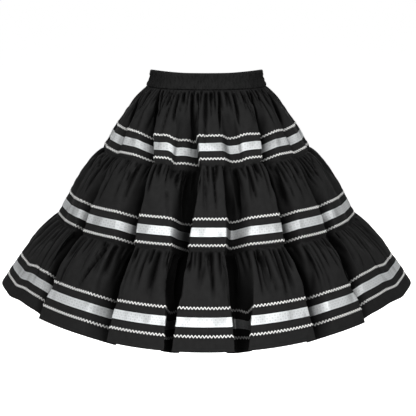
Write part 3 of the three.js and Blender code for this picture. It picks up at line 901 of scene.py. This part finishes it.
def ribbon(tier, sewn, low, high, sizes, material):
    """One ribbon, lying on the cloth."""
    heights, rows, normals = sewn
    columns = np.arange(rows.shape[1])
    across = np.linspace(high, low, RIBBON_ROWS)
    width = across - low
    grid = np.meshgrid(across, columns, indexing="ij")
    out = sample(heights, normals, *grid)
    out /= np.linalg.norm(out, axis=-1, keepdims=True)
    seat = sizes.cloth / 2 + TRIM_GAP
    points = sample(heights, rows, *grid) + out * seat
    length = np.linalg.norm(np.diff(points[MIDDLE_ROW], axis=0), axis=-1).sum()
    along = np.linspace(0, length, rows.shape[1])
    uvs = np.stack(np.broadcast_arrays(along[None, :], width[:, None]), axis=-1)
    uvs = np.concatenate([uvs, uvs[:, -1:] + [along[1], 0]], axis=1)
    name = f"ribbon_{tier.number}"
    piece = grid_mesh(f"{name}_brocade", points, uvs, True, material)
    thicken(piece, sizes.ribbon_thickness, 1)
    dress(piece, [name])


# Each wave of the braid has WAVE_STEPS steps. Its bends are sharper with WAVE_BEND nearer to 1,
# and the braid is BRAID_SLACK times as long as the line that it waves along.
WAVE_STEPS = 8
WAVE_BEND = 0.95
BRAID_SLACK = 1.4
BRAID_THICKNESS = 0.9 * MM
# The braid's section: how far to the side, in widths, and how far up, in thicknesses.
BRAID_SECTION = [(-0.5, 0), (-0.32, 1), (0.32, 1), (0.5, 0)]


def rick_rack(tier, sewn, middle, which, sizes, material):
    """One waved braid, lying on the cloth."""
    heights, rows, normals = sewn
    line = sample(heights, rows, np.full(rows.shape[1], middle), np.arange(rows.shape[1]))
    steps = np.linalg.norm(np.roll(line, -1, axis=0) - line, axis=-1)
    run = np.concatenate([[0], np.cumsum(steps)])
    waves = round(run[-1] / sizes.braid_pitch)
    count = waves * WAVE_STEPS
    share = np.arange(count) / WAVE_STEPS
    column = np.interp(share / waves * run[-1], run, np.arange(len(run)))
    swing = (sizes.braid_width - sizes.braid_strip) / 2
    wave = np.arcsin(WAVE_BEND * np.sin(2 * math.pi * share)) / math.asin(WAVE_BEND)
    height = middle + swing * wave
    centre = sample(heights, rows, height, column)
    out = sample(heights, normals, height, column)
    out /= np.linalg.norm(out, axis=-1, keepdims=True)
    ahead = np.roll(centre, -1, axis=0) - np.roll(centre, 1, axis=0)
    ahead /= np.linalg.norm(ahead, axis=-1, keepdims=True)
    beside = np.cross(out, ahead)
    seat = sizes.cloth / 2 + TRIM_GAP
    lines = [
        centre + beside * side * sizes.braid_strip + out * (seat + rise * BRAID_THICKNESS)
        for side, rise in BRAID_SECTION
    ]
    points = np.array(lines[::-1])
    along = share / waves * run[-1] * BRAID_SLACK
    across = np.linspace(0, sizes.braid_strip, len(points) + 1)
    uvs = np.stack(np.broadcast_arrays(along[None, :], across[:, None]), axis=-1)
    uvs = np.concatenate([uvs, uvs[:, -1:] + [along[1], 0]], axis=1)
    name = f"rick_rack_{tier.number}_{which}"
    piece = grid_mesh(f"{name}_braid", points, uvs, True, material, tube=True)
    dress(piece, [name])


# The casing. CASING_CUT is the flat strip before it is folded in two. Rows of stitches hold the
# elastic at these shares of its height, and the ruching puffs out between them.
CASING_CUT = (900 * MM, 78 * MM)
CASING_RIBS = 124
RIB_COLUMNS = 6
CASING_ROWS = 25
STITCH_ROWS = (0, 0.4, 0.72, 1)
PUFF_SHAPE = 0.35
CASING_FACE = 0.8 * MM
CASING_LINING = 0.6 * MM
# The casing is painted a little darker than the tiers, as painted shade for its close ruching.
CASING_PAINTED_SHADE = 0.85
# Waves that shift the ribs and make them uneven. Each has its size, how often it comes round the
# waist and how far it turns on the way down.
RIB_SHIFT = ((1.1, 13, 7), (0.9, 29, -11))
RIB_UNEVEN = ((0.25, 37, 9), (0.15, 53, -14))
# How high a rib stands on average, as a share of the highest. A rib stands out by RIB_RISE
# millimetres over RIB_LEAST, by STITCHED_SHARE of that on the rows of stitches, and by
# LINING_SHARE of it on the inside.
RIB_HEIGHT = 0.6
RIB_RISE = 2.6
RIB_LEAST = 0.1
STITCHED_SHARE = 0.25
LINING_SHARE = 0.6


def summed_waves(table, turn, share):
    """The sum of some sine waves round the waist and down the casing."""
    return sum(size * np.sin(times_round * turn + fall * share)
               for size, times_round, fall in table)


class SKIRT_OT_waistband(bpy.types.Operator):
    """Sew the elasticated waistband casing"""
    bl_idname = "skirt.waistband"
    bl_label = "Waistband"

    def execute(self, context):
        colour = context.scene.skirt_colours.cloth
        # Painted shade: the casing's cloth is a darker copy of the tiers' cloth.
        cloth = poly_cotton("Black ruched casing", times(colour, CASING_PAINTED_SHADE))
        rings = np.array(RINGS[:WAIST_SEAM_RING + 1], float)
        falls = -rings[:, Ring._fields.index("height")]
        places = np.linspace(0, RIDGES, CASING_RIBS * RIB_COLUMNS, endpoint=False)
        middle = []
        for fall in np.linspace(falls[0], falls[-1], CASING_ROWS):
            values = [np.interp(fall, falls, column) for column in rings.T]
            middle.append(cloth_row(Ring(*values), 0, places)[0])
        middle = np.array(middle)
        closed = np.concatenate([middle[:, -1:], middle, middle[:, :1]], axis=1)
        out = normals_of(closed)[:, 1:-1]
        share = np.linspace(0, 1, CASING_ROWS)[:, None]
        channel = np.interp(share, STITCH_ROWS, range(len(STITCH_ROWS)))
        puff = np.abs(np.sin(math.pi * channel)) ** PUFF_SHAPE
        turn = 2 * math.pi * places / RIDGES
        shift = summed_waves(RIB_SHIFT, turn, share)
        uneven = RIB_HEIGHT + summed_waves(RIB_UNEVEN, turn, share)
        ribbing = uneven * (0.5 + 0.5 * np.cos(CASING_RIBS * turn + shift))
        held = STITCHED_SHARE + (1 - STITCHED_SHARE) * puff
        rise = (held * (RIB_LEAST + RIB_RISE * ribbing))[..., None] * MM
        outer = middle + out * (CASING_FACE + rise)
        inner = middle - out * (CASING_LINING + LINING_SHARE * rise)
        points = np.concatenate([outer, inner[::-1]])
        length, width = CASING_CUT
        along = np.linspace(0, length, len(places) + 1)
        down = np.linspace(0, width, len(points) + 1)
        uvs = np.stack(np.broadcast_arrays(along[None, :], down[:, None]), axis=-1)
        piece = grid_mesh("waistband_casing", points, uvs, True, cloth, tube=True)
        dress(piece, ["waistband"])
        return {"FINISHED"}


# The stage, in metres and watts. The camera stands where the photograph's did.
CAMERA_AT = Vector((0.0036, -2.190, 0.199))
CAMERA_AIM = Vector((0.0036, 0, -0.308))
FOCAL_LENGTH = 81.73
SENSOR_WIDTH = 36
FLOOR_HEIGHT = -1.04
FLOOR_SIZE = 2000
WHITE = (1, 1, 1, 1)
PAPER = 0xF8F8F8
LIGHT_AIM = Vector((0, 0, -0.3))
Softbox = namedtuple("Softbox", "name at size power")
SOFTBOXES = [
    Softbox("overhead", (0, -0.6, 2.6), 2.4, 21),
    Softbox("left", (-0.85, -2.3, 0.9), 0.7, 49),
    Softbox("right", (0.85, -2.3, 0.9), 0.7, 49),
    Softbox("back left", (-0.9, 2.4, 0.6), 1.0, 36),
    Softbox("back right", (0.9, 2.4, 0.6), 1.0, 36),
]


def hang_softbox(box):
    """A round, soft area light, turned to the skirt."""
    data = bpy.data.lights.new(box.name, "AREA")
    data.shape = "DISK"
    data.size = box.size
    data.energy = box.power
    light = bpy.data.objects.new(box.name, data)
    bpy.context.scene.collection.objects.link(light)
    light.location = box.at
    light.rotation_euler = (LIGHT_AIM - Vector(box.at)).to_track_quat("-Z", "Y").to_euler()


class SKIRT_OT_stage(bpy.types.Operator):
    """Set the camera, the soft light and the pale floor"""
    bl_idname = "skirt.stage"
    bl_label = "Stage"

    def execute(self, context):
        scene = context.scene
        data = bpy.data.cameras.new("Camera")
        data.lens = FOCAL_LENGTH
        data.sensor_width = SENSOR_WIDTH
        camera = bpy.data.objects.new("Camera", data)
        scene.collection.objects.link(camera)
        camera.location = CAMERA_AT
        camera.rotation_euler = (CAMERA_AIM - CAMERA_AT).to_track_quat("-Z", "Y").to_euler()
        scene.camera = camera
        bpy.ops.object.select_all(action="DESELECT")
        bpy.ops.mesh.primitive_plane_add(size=FLOOR_SIZE, location=(0, 0, FLOOR_HEIGHT))
        floor = context.active_object
        floor.name = "floor"
        floor.data.transform(floor.matrix_world)
        floor.matrix_world.identity()
        floor.data.materials.append(white_paper("White paper", linear(PAPER)))
        # Neither the floor nor the world lights the skirt: only the softboxes do.
        floor.visible_diffuse = False
        world = bpy.data.worlds.new("World")
        scene.world = world
        world.use_nodes = True
        background = world.node_tree.nodes["Background"]
        background.inputs["Color"].default_value = WHITE
        background.inputs["Strength"].default_value = 1.0
        world.cycles_visibility.diffuse = False
        world.cycles_visibility.glossy = False
        for box in SOFTBOXES:
            hang_softbox(box)
        scene.view_settings.view_transform = "Standard"
        return {"FINISHED"}


class SKIRT_PT_panel(bpy.types.Panel):
    """Lists the steps that make the skirt"""
    bl_idname = "SKIRT_PT_panel"
    bl_label = "Square Dance Skirt"
    bl_space_type = "VIEW_3D"
    bl_region_type = "UI"
    bl_category = "Skirt"

    def draw(self, context):
        for group in (context.scene.skirt_sizes, context.scene.skirt_colours):
            for name in group.__annotations__:
                self.layout.prop(group, name)
        for step in STEPS:
            self.layout.operator(step.bl_idname)


STEPS = (SKIRT_OT_stage, SKIRT_OT_waistband, SKIRT_OT_tiers, SKIRT_OT_trims)
CLASSES = (SkirtSizes, SkirtColours, *STEPS, SKIRT_PT_panel)


def register():
    for cls in CLASSES:
        bpy.utils.register_class(cls)
    bpy.types.Scene.skirt_sizes = bpy.props.PointerProperty(type=SkirtSizes)
    bpy.types.Scene.skirt_colours = bpy.props.PointerProperty(type=SkirtColours)


def unregister():
    del bpy.types.Scene.skirt_colours
    del bpy.types.Scene.skirt_sizes
    for cls in reversed(CLASSES):
        bpy.utils.unregister_class(cls)


def main():
    """Makes the whole skirt."""
    register()
    bpy.ops.skirt.stage()
    bpy.ops.skirt.waistband()
    bpy.ops.skirt.tiers()
    bpy.ops.skirt.trims()


if __name__ == "__main__":
    main()
